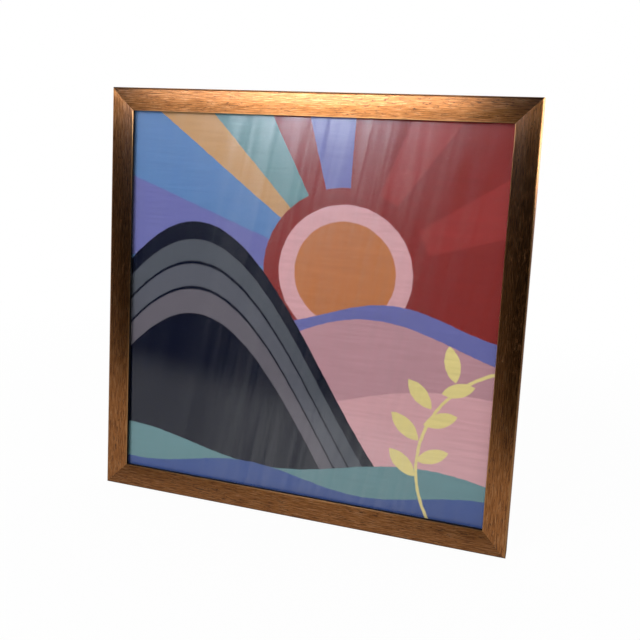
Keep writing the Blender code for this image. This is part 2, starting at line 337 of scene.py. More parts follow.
def finish_material(tree, shader):
    """Link the finished shader to the surface."""
    add_node(tree, "ShaderNodeOutputMaterial", inputs={"Surface": shader})


# Finishes

def antique_gold(name, arris_hex, arris_amount):
    """Metal leaf over dark brown bole, dragged with a dry brush along each length.

    The eye gets a warm metal with long fine streaks, flecks where the brown shows
    through, an outer arris line that is partly wear and partly painted light (a painted
    highlight where it is bright, painted shade where it is dark), and a painted highlight
    along the sight edge. The brush marks run along each length, so the gloss spreads
    across it.
    """
    material, tree = new_material(name)
    girth = add_node(tree, "ShaderNodeUVMap", {"uv_map": "along_and_round"}).outputs["UV"]

    def streaks(length, width, detail, distortion=0.0):
        """Noise drawn out along the moulding: length and width in millimetres."""
        stretched = add_node(tree, "ShaderNodeMapping", inputs={
            "Vector": girth,
            "Scale": (1 / (length * millimetre), 1 / (width * millimetre), 1.0),
        }).outputs["Vector"]
        return add_node(tree, "ShaderNodeTexNoise", {"noise_dimensions": "2D"}, {
            "Vector": stretched, "Scale": 1.0, "Detail": detail, "Roughness": 0.6,
            "Distortion": distortion,
        }).outputs["Fac"]

    brush = streaks(12.0, 0.6, 5.0, 0.3)
    fine = streaks(6.0, 0.3, 3.0)
    flecks = streaks(5.0, 0.8, 3.0, 0.8)
    patches = streaks(45.0, 9.0, 2.0)

    leaf = add_node(tree, "ShaderNodeValToRGB", inputs={"Fac": brush}, stops=[
        (0.32, colour("#82502B")), (0.45, colour("#B1703A")), (0.55, colour("#C47F46")),
        (0.68, colour("#D69C68")),
    ]).outputs["Color"]
    bole = colour("#3A1F12")
    fleck_amount = add_node(tree, "ShaderNodeValToRGB", inputs={"Fac": flecks}, stops=[
        (0.35, 0.85), (0.44, 0.0),
    ]).outputs["Color"]
    patch_amount = add_node(tree, "ShaderNodeMapRange", inputs={
        "Value": patches, "From Min": 0.35, "From Max": 0.65, "To Min": 0.35, "To Max": 1.0,
    }).outputs["Result"]
    worn = add_node(tree, "ShaderNodeMath", {"operation": "MULTIPLY"}, {
        0: fleck_amount, 1: patch_amount,
    }).outputs["Value"]
    flecked = add_node(tree, "ShaderNodeMix", {"data_type": "RGBA"}, {
        "Factor": worn, 6: leaf, 7: bole,
    }).outputs[2]

    _, round_section, _ = add_node(tree, "ShaderNodeSeparateXYZ", inputs={
        "Vector": girth,
    }).outputs

    def line_at(place, width, amount):
        """A soft line along the length; its place is measured round the section."""
        off = add_node(tree, "ShaderNodeMath", {"operation": "SUBTRACT"}, {
            0: round_section, 1: place,
        }).outputs["Value"]
        distance = add_node(tree, "ShaderNodeMath", {"operation": "ABSOLUTE"}, {
            0: off,
        }).outputs["Value"]
        return add_node(tree, "ShaderNodeMapRange", {"interpolation_type": "SMOOTHSTEP"}, {
            "Value": distance, "From Min": 0.2 * width, "From Max": width,
            "To Min": amount, "To Max": 0.0,
        }).outputs["Result"]

    # The outer arris line is partly wear and partly painted light: a painted highlight where its
    # colour is bright, painted shade where it is dark
    outer_arris = 0.3 * millimetre
    edged = add_node(tree, "ShaderNodeMix", {"data_type": "RGBA"}, {
        "Factor": line_at(outer_arris, 1.2 * millimetre, arris_amount),
        6: flecked, 7: colour(arris_hex),
    }).outputs[2]
    # A painted highlight: a line of pale gold along the sight edge
    sight_arris = face_width + face_fall(face_width) - 0.3 * millimetre
    base = add_node(tree, "ShaderNodeMix", {"data_type": "RGBA"}, {
        "Factor": line_at(sight_arris, 0.9 * millimetre, 0.7), 6: edged, 7: colour("#DDA46A"),
    }).outputs[2]
    roughness = add_node(tree, "ShaderNodeMapRange", inputs={
        "Value": fine, "From Min": 0.3, "From Max": 0.7, "To Min": 0.37, "To Max": 0.42,
    }).outputs["Result"]
    metallic = add_node(tree, "ShaderNodeMapRange", inputs={
        "Value": worn, "From Min": 0.0, "From Max": 1.0, "To Min": 1.0, "To Max": 0.7,
    }).outputs["Result"]
    relief = add_node(tree, "ShaderNodeMath", {"operation": "MULTIPLY_ADD"}, {
        0: fine, 1: 0.6, 2: brush,
    }).outputs["Value"]
    bump = add_node(tree, "ShaderNodeBump", inputs={
        "Strength": 0.35, "Distance": 0.04 * millimetre, "Height": relief,
    }).outputs["Normal"]
    tangent = add_node(tree, "ShaderNodeTangent", {
        "direction_type": "UV_MAP", "uv_map": "along_and_round",
    }).outputs["Tangent"]
    shader = add_node(tree, "ShaderNodeBsdfPrincipled", inputs={
        "Base Color": base, "Metallic": metallic, "Roughness": roughness,
        "Normal": bump, "Tangent": tangent, "Anisotropic": 0.96, "Anisotropic Rotation": 0.25,
        "Coat Weight": 0.3, "Coat Roughness": 0.3,
    }).outputs["BSDF"]
    finish_material(tree, shader)
    return material


def lip_wall_painted_shade():
    """Near black matt brown on the lip's inner wall, where the leaf stops: painted shade."""
    material, tree = new_material("brown_black_stain")
    place = add_node(tree, "ShaderNodeTexCoord").outputs["Object"]
    mottle = add_node(tree, "ShaderNodeTexNoise", inputs={
        "Vector": place, "Scale": 1 / (2 * millimetre), "Detail": 3.0,
    }).outputs["Fac"]
    base = add_node(tree, "ShaderNodeValToRGB", inputs={"Fac": mottle}, stops=[
        (0.3, colour("#0E0906")), (0.7, colour("#20150E")),
    ]).outputs["Color"]
    shader = add_node(tree, "ShaderNodeBsdfPrincipled", inputs={
        "Base Color": base, "Roughness": 0.65, "Specular IOR Level": 0.25,
    }).outputs["BSDF"]
    finish_material(tree, shader)
    return material


def raw_pine():
    """Sawn softwood left bare in the rebate and on the back: dull, pale, with fine grain."""
    material, tree = new_material("sawn_pine")
    place = add_node(tree, "ShaderNodeUVMap", {"uv_map": "along_and_round"}).outputs["UV"]
    stretched = add_node(tree, "ShaderNodeMapping", inputs={
        "Vector": place, "Scale": (1 / (30 * millimetre), 1 / (0.8 * millimetre), 1.0),
    }).outputs["Vector"]
    grain = add_node(tree, "ShaderNodeTexNoise", {"noise_dimensions": "2D"}, {
        "Vector": stretched, "Scale": 1.0, "Detail": 4.0, "Distortion": 0.4,
    }).outputs["Fac"]
    base = add_node(tree, "ShaderNodeValToRGB", inputs={"Fac": grain}, stops=[
        (0.32, colour("#8E6A45")), (0.5, colour("#B28D61")), (0.7, colour("#C5A377")),
    ]).outputs["Color"]
    bump = add_node(tree, "ShaderNodeBump", inputs={
        "Strength": 0.4, "Distance": 0.08 * millimetre, "Height": grain,
    }).outputs["Normal"]
    shader = add_node(tree, "ShaderNodeBsdfPrincipled", inputs={
        "Base Color": base, "Roughness": 0.8, "Normal": bump,
    }).outputs["BSDF"]
    finish_material(tree, shader)
    return material


def satin_acrylic():
    """Clear acrylic with a thin satin film on its faces, which blurs lights into a haze.

    The film was drawn down the sheet, a little askew, and lies thicker and thinner across
    it, so that the haze shows as soft streaks. It thins out towards both stiles.
    """
    thickest_at = 20 * millimetre
    material, tree = new_material("satin_faced_acrylic")
    place = add_node(tree, "ShaderNodeTexCoord").outputs["Object"]
    drawn = add_node(tree, "ShaderNodeMapping", {"vector_type": "TEXTURE"}, {
        "Vector": place, "Rotation": (0.0, math.radians(10), 0.0),
        "Scale": (6 * millimetre, 6 * millimetre, 130 * millimetre),
    }).outputs["Vector"]
    waves = add_node(tree, "ShaderNodeTexNoise", inputs={
        "Vector": drawn, "Scale": 1.0, "Detail": 2.0, "Roughness": 0.6, "Distortion": 0.2,
    }).outputs["Fac"]
    streaked = add_node(tree, "ShaderNodeMapRange", inputs={
        "Value": waves, "From Min": 0.33, "From Max": 0.67, "To Min": 0.3, "To Max": 1.0,
    }).outputs["Result"]
    from_thickest = add_node(tree, "ShaderNodeMapping", inputs={
        "Vector": place, "Location": (-thickest_at, 0.0, 0.0), "Scale": (1.0, 0.0, 0.0),
    }).outputs["Vector"]
    sideways = add_node(tree, "ShaderNodeVectorMath", {"operation": "LENGTH"}, {
        0: from_thickest,
    }).outputs["Value"]
    thinning = add_node(tree, "ShaderNodeMapRange", {"interpolation_type": "SMOOTHSTEP"}, {
        "Value": sideways, "From Min": 40 * millimetre, "From Max": 130 * millimetre,
        "To Min": 1.0, "To Max": 0.3,
    }).outputs["Result"]
    film = add_node(tree, "ShaderNodeMath", {"operation": "MULTIPLY"}, {
        0: streaked, 1: thinning,
    }).outputs["Value"]
    acrylic = add_node(tree, "ShaderNodeBsdfPrincipled", inputs={
        "Base Color": colour("#FFFFFF"), "Roughness": 0.0, "IOR": 1.4,
        "Transmission Weight": 1.0,
        "Coat Weight": film, "Coat Roughness": 0.3, "Coat IOR": 1.6,
    }).outputs["BSDF"]
    # Shadow and diffuse rays pass straight through, so that the print is lit plainly
    clear = add_node(tree, "ShaderNodeBsdfTransparent").outputs["BSDF"]
    path = add_node(tree, "ShaderNodeLightPath").outputs
    lets_through = add_node(tree, "ShaderNodeMath", {"operation": "MAXIMUM"}, {
        0: path["Is Shadow Ray"], 1: path["Is Diffuse Ray"],
    }).outputs["Value"]
    shader = add_node(tree, "ShaderNodeMixShader", inputs={
        "Fac": lets_through, 1: acrylic, 2: clear,
    }).outputs["Shader"]
    finish_material(tree, shader)
    return material


def printed_design():
    """Satin paper with a flat gouache print: sun rays, hills, a pond and a leaf sprig.

    All places and sizes of the design are shares of the sheet's side.
    """
    deep_red, warm_red, violet, blue = "#7B2A28", "#8A3230", "#62649B", "#5476A5"
    sea_green, sand, rose, straw = "#5F8287", "#AF875C", "#C4969B", "#D2C382"
    edge = 0.0012
    material, tree = new_material("satin_art_print")
    side = print_high.x - print_low.x
    place = add_node(tree, "ShaderNodeTexCoord").outputs["Object"]
    wobble_noise = add_node(tree, "ShaderNodeTexNoise", inputs={
        "Vector": place, "Scale": 1 / (5 * millimetre), "Detail": 2.0,
    }).outputs["Color"]
    centred = add_node(tree, "ShaderNodeVectorMath", {"operation": "SUBTRACT"}, {
        0: wobble_noise, 1: (0.5, 0.5, 0.5),
    }).outputs["Vector"]
    wobble = add_node(tree, "ShaderNodeVectorMath", {"operation": "SCALE"}, {
        0: centred, "Scale": 1.2 * millimetre,
    }).outputs["Vector"]
    wobbled = add_node(tree, "ShaderNodeVectorMath", {"operation": "ADD"}, {
        0: place, 1: wobble,
    }).outputs["Vector"]
    sheet = add_node(tree, "ShaderNodeMapping", inputs={
        "Vector": wobbled, "Location": (0.5, 0.0, -print_low.z / side),
        "Scale": (1 / side, 0.0, 1 / side),
    }).outputs["Vector"]
    across, _, up = add_node(tree, "ShaderNodeSeparateXYZ", inputs={"Vector": sheet}).outputs

    def past(value, limit, way=1):
        """1 where the value is over the limit, or under it if way is -1; the edge is soft."""
        return add_node(tree, "ShaderNodeMapRange", inputs={
            "Value": value, "From Min": limit - way * edge, "From Max": limit + way * edge,
        }).outputs["Result"]

    def disc(centre, radius, way=-1):
        """Inside a circle, or outside it if way is 1."""
        distance = add_node(tree, "ShaderNodeVectorMath", {"operation": "DISTANCE"}, {
            0: sheet, 1: (centre[0], 0.0, centre[1]),
        }).outputs["Value"]
        return past(distance, radius, way)

    def both(one, other):
        """Where two shapes overlap."""
        return add_node(tree, "ShaderNodeMath", {"operation": "MULTIPLY"}, {
            0: one, 1: other,
        }).outputs["Value"]

    def leaf(foot, tip, fatness):
        """A lens shape from foot to tip: where two discs overlap."""
        foot, tip = Vector(foot), Vector(tip)
        chord = tip - foot
        square = Vector((-chord.y, chord.x)) / chord.length
        half = chord.length / 2
        belly = half * fatness
        radius = (half * half + belly * belly) / (2 * belly)
        centre = (foot + tip) / 2
        reach = square * (radius - belly)
        return both(disc(centre + reach, radius), disc(centre - reach, radius))

    def hill(height, swing, length, phase, lean=0.0):
        """How far each point lies below a rolling line."""
        turn = add_node(tree, "ShaderNodeMath", {"operation": "MULTIPLY_ADD"}, {
            0: across, 1: 2 * math.pi / length, 2: phase,
        }).outputs["Value"]
        roll = add_node(tree, "ShaderNodeMath", {"operation": "SINE"}, {
            0: turn,
        }).outputs["Value"]
        line = add_node(tree, "ShaderNodeMath", {"operation": "MULTIPLY_ADD"}, {
            0: roll, 1: swing, 2: height,
        }).outputs["Value"]
        leaned = add_node(tree, "ShaderNodeMath", {"operation": "MULTIPLY_ADD"}, {
            0: across, 1: lean, 2: line,
        }).outputs["Value"]
        return add_node(tree, "ShaderNodeMath", {"operation": "SUBTRACT"}, {
            0: leaned, 1: up,
        }).outputs["Value"]

    def paint(below, hex_value, amount):
        """Lay a colour over the design so far."""
        return add_node(tree, "ShaderNodeMix", {"data_type": "RGBA"}, {
            "Factor": amount, 6: below, 7: colour(hex_value),
        }).outputs[2]

    sun = (0.60, 0.60)
    from_sun = add_node(tree, "ShaderNodeVectorMath", {"operation": "SUBTRACT"}, {
        0: sheet, 1: (sun[0], 0.0, sun[1]),
    }).outputs["Vector"]
    sun_x, _, sun_z = add_node(tree, "ShaderNodeSeparateXYZ", inputs={
        "Vector": from_sun,
    }).outputs
    turn = add_node(tree, "ShaderNodeMath", {"operation": "ARCTAN2"}, {
        0: sun_z, 1: sun_x,
    }).outputs["Value"]
    share = add_node(tree, "ShaderNodeMapRange", inputs={
        "Value": turn, "From Min": -math.pi, "From Max": math.pi,
    }).outputs["Result"]
    # Each ray starts at this share of a turn
    rays = (
        (0.0, blue), (0.40, deep_red), (0.545, warm_red), (0.59, deep_red),
        (0.65, warm_red), (0.69, deep_red), (0.745, violet), (0.79, deep_red),
        (0.825, sea_green), (0.87, sand), (0.895, blue), (0.945, violet),
    )
    fan = add_node(
        tree, "ShaderNodeValToRGB", inputs={"Fac": share},
        stops=[(position, colour(hex_value)) for position, hex_value in rays],
    )
    fan.color_ramp.interpolation = "CONSTANT"
    design = fan.outputs["Color"]
    for hex_value, radius in ((deep_red, 0.205), (rose, 0.165), ("#AC6C44", 0.125)):
        design = paint(design, hex_value, disc(sun, radius))

    mound = hill(0.40, 0.32, 1.34, 0.50, -0.10)
    for hex_value, below_line in (
        (violet, hill(0.50, 0.035, 0.62, 0.6)), ("#AC828A", hill(0.36, 0.07, 0.95, 3.6, 0.10)),
        (rose, hill(0.24, 0.05, 1.15, 3.2, 0.06)), ("#090D1E", mound),
    ):
        design = paint(design, hex_value, past(below_line, 0.0))
    for hex_value, top, low in (
        ("#484C54", 0.045, 0.10), ("#50525B", 0.108, 0.165), ("#5C5860", 0.173, 0.235),
    ):
        design = paint(design, hex_value, both(past(mound, top), past(mound, low, -1)))
    for hex_value, below_line in (
        (sea_green, hill(0.12, 0.03, 0.80, 1.4)), ("#3C5087", hill(0.075, 0.02, 0.60, 4.0)),
    ):
        design = paint(design, hex_value, past(below_line, 0.0))

    stem_centre = (1.06, 0.16)
    stem = both(disc(stem_centre, 0.262), disc(stem_centre, 0.255, 1))
    design = paint(design, straw, stem)
    for foot, tip in (
        ((0.800, 0.13), (0.735, 0.19)), ((0.800, 0.17), (0.875, 0.20)),
        ((0.803, 0.22), (0.735, 0.28)), ((0.812, 0.26), (0.890, 0.29)),
        ((0.828, 0.30), (0.770, 0.365)), ((0.850, 0.34), (0.925, 0.365)),
        ((0.880, 0.37), (0.860, 0.455)),
    ):
        design = paint(design, straw, leaf(foot, tip, 0.42))

    brush = add_node(tree, "ShaderNodeMapping", inputs={
        "Vector": place, "Rotation": (0.0, math.radians(35), 0.0),
        "Scale": (1 / (40 * millimetre), 1.0, 1 / (2.5 * millimetre)),
    }).outputs["Vector"]
    brushed = add_node(tree, "ShaderNodeTexNoise", inputs={
        "Vector": brush, "Scale": 1.0, "Detail": 4.0,
    }).outputs["Fac"]
    shade_of = add_node(tree, "ShaderNodeMapRange", inputs={
        "Value": brushed, "From Min": 0.3, "From Max": 0.7, "To Min": 0.93, "To Max": 1.07,
    }).outputs["Result"]
    design = add_node(tree, "ShaderNodeVectorMath", {"operation": "SCALE"}, {
        0: design, "Scale": shade_of,
    }).outputs["Vector"]
    shader = add_node(tree, "ShaderNodeBsdfPrincipled", inputs={
        "Base Color": design, "Roughness": 0.8, "Specular IOR Level": 0.0,
    }).outputs["BSDF"]
    finish_material(tree, shader)
    return material


def pressed_board(name, dark, mid, light, fibre):
    """Pressed or layered board: dull, mottled by its fibres, whose length is in millimetres."""
    material, tree = new_material(name)
    place = add_node(tree, "ShaderNodeTexCoord").outputs["Object"]
    coarse = add_node(tree, "ShaderNodeTexNoise", inputs={
        "Vector": place, "Scale": 1 / (6 * fibre * millimetre), "Detail": 5.0,
    }).outputs["Fac"]
    fibres = add_node(tree, "ShaderNodeTexNoise", inputs={
        "Vector": place, "Scale": 1 / (fibre * millimetre), "Detail": 3.0, "Distortion": 1.5,
    }).outputs["Fac"]
    mixed = add_node(tree, "ShaderNodeMath", {"operation": "MULTIPLY_ADD"}, {
        0: fibres, 1: 0.6, 2: coarse,
    }).outputs["Value"]
    base = add_node(tree, "ShaderNodeValToRGB", inputs={"Fac": mixed}, stops=[
        (0.62, colour(dark)), (0.8, colour(mid)), (0.98, colour(light)),
    ]).outputs["Color"]
    bump = add_node(tree, "ShaderNodeBump", inputs={
        "Strength": 0.3, "Distance": 0.1 * millimetre, "Height": fibres,
    }).outputs["Normal"]
    shader = add_node(tree, "ShaderNodeBsdfPrincipled", inputs={
        "Base Color": base, "Roughness": 0.72, "Normal": bump,
    }).outputs["BSDF"]
    finish_material(tree, shader)
    return material


def plated_steel(name, dark, light, roughness, grit):
    """Plated steel: a metal with a faint uneven bloom and fine handling marks."""
    material, tree = new_material(name)
    place = add_node(tree, "ShaderNodeTexCoord").outputs["Object"]
    bloom = add_node(tree, "ShaderNodeTexNoise", inputs={
        "Vector": place, "Scale": 1 / (grit * 8 * millimetre), "Detail": 4.0,
    }).outputs["Fac"]
    marks = add_node(tree, "ShaderNodeTexNoise", inputs={
        "Vector": place, "Scale": 1 / (grit * millimetre), "Detail": 3.0,
    }).outputs["Fac"]
    base = add_node(tree, "ShaderNodeValToRGB", inputs={"Fac": bloom}, stops=[
        (0.35, colour(dark)), (0.65, colour(light)),
    ]).outputs["Color"]
    rough = add_node(tree, "ShaderNodeMapRange", inputs={
        "Value": marks, "From Min": 0.3, "From Max": 0.7,
        "To Min": roughness - 0.06, "To Max": roughness + 0.08,
    }).outputs["Result"]
    bump = add_node(tree, "ShaderNodeBump", inputs={
        "Strength": 0.12, "Distance": 0.02 * millimetre, "Height": marks,
    }).outputs["Normal"]
    shader = add_node(tree, "ShaderNodeBsdfPrincipled", inputs={
        "Base Color": base, "Metallic": 1.0, "Roughness": rough, "Normal": bump,
    }).outputs["BSDF"]
    finish_material(tree, shader)
    return material


# Moulding

def face_fall(inset):
    """How far the face lies behind its level outer half, this far in from the outer edge."""
    over_ridge = min(max(inset - ridge_start_inset, 0.0), ridge_width)
    past_ridge = max(inset - ridge_start_inset - over_ridge, 0.0)
    bend = ridge_radius - math.sqrt(ridge_radius ** 2 - over_ridge ** 2)
    return bend + past_ridge * math.tan(inner_fall_angle)


def model_bottom_moulding():
    """The bottom length: a wall, a lip drawn out of it, a ridged face, arrises and mitres."""
    rail = start(
        "bottom_moulding", bpy.ops.mesh.primitive_cube_add, size=1,
        location=(0, (front_y + back_y) / 2, wall_width / 2),
        scale=(outer_side, moulding_depth, wall_width),
    )
    slice_at((0, seat_y, 0), (0, 1, 0))
    pick(rail, "faces", lambda face: face.normal.z > 0.9 and middle(face).y < seat_y)
    bpy.ops.mesh.extrude_region_move(
        TRANSFORM_OT_translate={"value": (0, 0, face_width - wall_width)}
    )
    # Rows of points just off both arrises, beside the ridge and over it
    insets = [0.0, 1.1 * outer_arris_width, ridge_start_inset - ridge_rim]
    for number in range(ridge_rows + 1):
        insets.append(ridge_start_inset + ridge_width * number / ridge_rows)
    insets.append(ridge_start_inset + ridge_width + ridge_rim)
    insets += [face_width - 1.5 * sight_arris_width, face_width]
    for inset in insets[1:-1]:
        slice_at((0, 0, inset), (0, 0, 1))
    for inset in insets:
        pick(rail, "verts", lambda vert: near(vert.co.z, inset) and near(vert.co.y, front_y))
        bpy.ops.transform.translate(value=(0, face_fall(inset), 0))

    def long_edge_at(y, z):
        return lambda edge: (
            near(middle(edge).x, 0) and near(middle(edge).y, y) and near(middle(edge).z, z)
        )

    pick(rail, "edges", long_edge_at(front_y + face_fall(0), 0))
    bpy.ops.mesh.bevel(offset=outer_arris_width, segments=arris_segments)
    pick(rail, "edges", long_edge_at(front_y + face_fall(face_width), face_width))
    bpy.ops.mesh.bevel(offset=sight_arris_width, segments=arris_segments)
    pick(rail, "edges", long_edge_at(back_y, 0))
    bpy.ops.mesh.bevel(offset=back_chamfer, segments=2)

    for end in (-1, 1):
        corner = Vector((end * (half_side - mitre_gap / 2 * math.sqrt(2)), 0, 0))
        slice_at(corner, (-end, 0, -1), clear_inner=True, use_fill=True)
        pick(rail, "edges", lambda edge: middle(edge).y < seat_y and all(
            near(abs(vert.co.x) + vert.co.z, abs(corner.x)) and vert.co.x * end > 0
            for vert in edge.verts
        ) and middle(edge).z < face_width)
        bpy.ops.mesh.bevel(offset=mitre_edge_width, segments=2)
    outwards(rail)
    # Below the step to the mitre's tiny bevel, or the long faces would be shaded as if bowed
    shade(rail, 20)
    return rail


def lay_girth(rail, shift):
    """A UV map in metres: along the length, and round the section over the face."""
    layer = rail.data.uv_layers.new(name="along_and_round")
    for loop in rail.data.loops:
        place = rail.data.vertices[loop.vertex_index].co
        back = place.y - front_y
        round_section = place.z + (back if place.z > ridge_start_inset else -back)
        layer.data[loop.index].uv = (place.x + shift, round_section)


def leave_bare(rail):
    """The back, the rebate and the sawn ends are bare wood, the lip's inner wall gets painted
    shade.
    """
    gilt, bare, painted_shade = range(3)
    for face in rail.data.polygons:
        on_lip_wall = face.normal.z > 0.98 and near(face.center.z, face_width)
        in_rebate = face.center.y > seat_y and face.center.z > wall_width / 2
        on_rebate_wall = in_rebate and face.normal.z > 0.5
        on_back = face.normal.y > 0.9
        sawn = abs(face.normal.x) > 0.6
        # The lip's inner wall gets near black colour as painted shade
        if on_lip_wall:
            face.material_index = painted_shade
        elif on_back or on_rebate_wall or sawn:
            face.material_index = bare
        else:
            face.material_index = gilt


def build_mouldings():
    """Four lengths from one, each turned to its side, with its own stretch of the pattern."""
    # The rails' dark arris line is painted shade over wear, the stiles' bright one a painted
    # highlight over rubbed leaf
    rail_gold = antique_gold("gold_leaf_with_worn_arris", "#3A1F12", 0.7)
    stile_gold = antique_gold("gold_leaf_with_rubbed_arris", "#D29A5E", 0.9)
    pine = raw_pine()
    # Near black for the lip's inner wall, as painted shade
    wall_shade_paint = lip_wall_painted_shade()
    first = model_bottom_moulding()
    leave_bare(first)
    for number, (side, turn) in enumerate(side_turns.items()):
        upright = side in ("left", "right")
        about_centre = (
            Matrix.Translation(frame_centre) @ Matrix.Rotation(turn, 4, "Y")
            @ Matrix.Translation(-frame_centre)
        )
        piece = copy_of(first, side + "_moulding_length", Matrix.Identity(4))
        lay_girth(piece, number * 2 * outer_side)
        piece.data.transform(about_centre)
        gold = stile_gold if upright else rail_gold
        node = side + ("_stile" if upright else "_rail")
        hand_over(piece, node, "frame", [gold, pine, wall_shade_paint])
    bpy.data.objects.remove(first)


# Glazing

def build_glazing():
    """The pane: a thin sheet with its edges eased."""
    pane = start(
        "acrylic_pane", bpy.ops.mesh.primitive_cube_add, size=1,
        location=(sheet_low + sheet_high) / 2, scale=sheet_high - sheet_low,
    )
    bpy.ops.mesh.select_all(action="SELECT")
    bpy.ops.mesh.bevel(offset=pane_edge_width, segments=1)
    outwards(pane)
    hand_over(pane, "glazing_sheet", "frame", [satin_acrylic()])


# Turn buttons

def model_button():
    """Stamped tongue, flat, its hole about Z and its tip along -Y, then lifted at the tip."""
    button = start(
        "button", bpy.ops.mesh.primitive_circle_add, vertices=button_sides,
        radius=button_round_radius,
    )
    tip_centre = (0, -(button_length - button_tip_radius), 0)
    pick(button, "verts", lambda vert: vert.co.y < -hair)
    bpy.ops.transform.translate(value=tip_centre)
    shrink = button_tip_radius / button_round_radius
    bpy.ops.transform.resize(value=(shrink, shrink, 1), center_override=tip_centre)
    edit(button)
    bpy.ops.mesh.select_all(action="DESELECT")
    bpy.ops.mesh.primitive_circle_add(vertices=button_sides, radius=screw_hole_radius)
    bpy.ops.mesh.select_all(action="SELECT")
    bpy.ops.mesh.bridge_edge_loops()
    flat = button_length - button_lift_length
    for number in range(button_lift_rows):
        slice_at((0, -flat - button_lift_length * number / button_lift_rows, 0), (0, 1, 0))
    alone(button)
    rows = {round(vert.co.y, 6) for vert in button.data.vertices if vert.co.y < -flat}
    edit(button)
    for row in sorted(rows):
        share = (-row - flat) / button_lift_length
        rise = button_lift * (1 - math.cos(math.pi * share)) / 2
        pick(button, "verts", lambda vert: near(vert.co.y, row))
        bpy.ops.transform.translate(value=(0, 0, rise))
    thicken(button, button_thickness)
    outwards(button)
    ease_edges(button, button_edge_width, 3, 50)
    shade(button)
    return button


def raise_dome(rise):
    """Pull the picked round top face up into a quarter round dome in steps."""
    for number in range(1, dome_steps + 1):
        below = math.pi / 2 * (number - 1) / dome_steps
        above = math.pi / 2 * number / dome_steps
        shrink = math.cos(above) / math.cos(below)
        bpy.ops.mesh.extrude_region_move(
            TRANSFORM_OT_translate={"value": (0, 0, rise * (math.sin(above) - math.sin(below)))}
        )
        if number < dome_steps:
            bpy.ops.transform.resize(value=(shrink, shrink, 1))
        else:
            bpy.ops.mesh.merge(type="CENTER")


def model_domed_pin(name, radius, rim, height, shank_radius, shank_length):
    """A round head on its shank, head up, seated at zero."""
    pin = start(
        name, bpy.ops.mesh.primitive_cylinder_add, vertices=head_sides, radius=radius,
        depth=rim, location=(0, 0, rim / 2),
    )
    pick(pin, "faces", lambda face: face.normal.z < -0.9)
    bpy.ops.mesh.inset(thickness=radius - shank_radius)
    bpy.ops.mesh.extrude_region_move(TRANSFORM_OT_translate={"value": (0, 0, -shank_length)})
    pick(pin, "faces", lambda face: face.normal.z > 0.9 and middle(face).z > rim / 2)
    raise_dome(height - rim)
    outwards(pin)
    return pin


def model_screw():
    """Pan head with a cross recess that narrows towards its floor."""
    screw = model_domed_pin(
        "screw", screw_head_radius, screw_rim_height, screw_head_height, screw_shank_radius,
        screw_shank_length,
    )
    for size in ((recess_span, recess_width), (recess_width, recess_span)):
        cutter = start(
            "recess_cutter", bpy.ops.mesh.primitive_cube_add, size=1,
            location=(0, 0, screw_head_height), scale=(*size, 2 * recess_depth),
        )
        pick(cutter, "faces", lambda face: face.normal.z < -0.9)
        bpy.ops.transform.resize(value=(recess_taper, recess_taper, 1))
        apply_modifier(screw, "BOOLEAN", operation="DIFFERENCE", solver="EXACT", object=cutter)
        bpy.data.objects.remove(cutter)
    ease_edges(screw, screw_edge_width, 2, 40)
    shade(screw)
    return screw


def build_turn_buttons():
    """A tongue and its screw at each button's joint; gives back the plating of the screws."""
    black = plated_steel("black_zinc_plate", "#17171A", "#2A2A2E", 0.38, 0.5)
    bright = plated_steel("bright_zinc_plate", "#A9ADB3", "#C3C6CB", 0.3, 0.4)
    button = model_button()
    screw = model_screw()
    screw_rise = button_thickness / 2 + screw_head_clearance
    for joint in frame["joints"]:
        words = joint["name"].split("_")
        if words[0] != "turn":
            continue
        side, end = words[1:]
        turned = Matrix.Rotation(side_turns[side], 4, "Y") @ Matrix.Rotation(faces_back, 4, "X")
        place = Matrix.Translation(joint["pos_m"]) @ turned
        tongue = copy_of(button, f"{side}_{end}_button_tongue", place)
        hand_over(tongue, f"turn_button_{side}_{end}", joint["child"], [black])
        driven = math.radians(side_letter_turn * len(side) + end_letter_turn * len(end))
        seat = place @ Matrix.Translation((0, 0, screw_rise)) @ Matrix.Rotation(driven, 4, "Z")
        head = copy_of(screw, f"{side}_{end}_pan_head_screw", seat)
        hand_over(head, f"turn_button_screw_{side}_{end}", "frame", [bright])
    bpy.data.objects.remove(button)
    bpy.data.objects.remove(screw)
    return bright


# Hanger

def model_strap(knuckle):
    """A strip rolled round the ring's bar, its two lower corners rounded."""
    strap = start(
        "rolled_hanger_strap", bpy.ops.mesh.primitive_plane_add, size=1,
        location=(0, -strap_length / 2, -roll_radius), scale=(strap_width, strap_length, 1),
    )
    pick(strap, "edges", lambda edge: near(middle(edge).y, 0))
    bpy.ops.mesh.spin(
        steps=roll_steps, angle=-(roll_end_angle + math.pi / 2), center=(0, 0, 0),
        axis=(1, 0, 0),
    )
    pick(strap, "verts", lambda vert: near(vert.co.y, -strap_length))
    bpy.ops.mesh.bevel(offset=strap_corner_radius, segments=10, affect="VERTICES")
    outwards(strap)
    thicken(strap, strap_thickness)
    ease_edges(strap, strap_edge_width, 3, 50)
    outwards(strap)
    strap.data.transform(
        Matrix.Translation(knuckle) @ Matrix.Rotation(faces_back, 4, "X")
        @ Matrix.Rotation(math.pi, 4, "Z")
    )
    shade(strap)
    return strap


